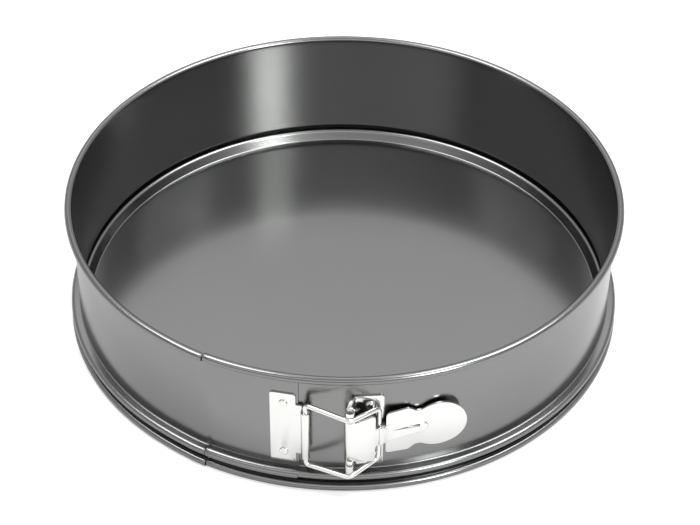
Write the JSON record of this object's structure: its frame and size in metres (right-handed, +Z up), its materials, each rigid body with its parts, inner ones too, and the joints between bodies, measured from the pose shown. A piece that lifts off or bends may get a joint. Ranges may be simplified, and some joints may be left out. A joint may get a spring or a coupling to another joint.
{
  "type": "springform cake tin",
  "caption": "Round springform cake tin of dark coated sheet steel with a rolled rim, a loose dished base in a groove and a bright over-centre buckle.",
  "frame": {"origin": "centre of the foot circle, on the axis of the tin, in the plane that the foot stands on", "axes": "+Z up along the axis of the tin, -Y towards the buckle, +X towards the thumb tab of the closed lever"},
  "size_m": [0.2916, 0.3001, 0.0724],
  "materials": {
    "coated_steel": "satin non-stick coating",
    "plated_steel": "bright nickel plating"
  },
  "bodies": {
    "tin_ring": {"side_band": "coated_steel", "catch_plate": "plated_steel", "catch_rivets": "plated_steel", "lever_bracket": "plated_steel", "bracket_rivets": "plated_steel", "hinge_pin": "plated_steel"},
    "lever": {"lever": "plated_steel"},
    "bail": {"wire_bail": "plated_steel"},
    "base": {"base_plate": "coated_steel"}
  },
  "joints": [
    {"name": "lever_swing", "type": "hinge", "parent": "tin_ring", "child": "lever", "pos_m": [0.00342, -0.1469, 0.0374], "axis": [0, 0, -1], "range_deg": [0, 170]},
    {"name": "bail_swing", "type": "hinge", "parent": "tin_ring", "child": "bail", "pos_m": [-0.0173, -0.144, 0.0374], "axis": [0, 0, -1], "range_deg": [0, 52]},
    {"name": "base_rise", "type": "slide", "parent": "tin_ring", "child": "base", "axis": [0, 0, 1], "range_m": [0, 0.0022]}
  ],
  "couplings": [
    {"joint": "bail_swing", "follows": "lever_swing", "ratio": 0.3}
  ]
}
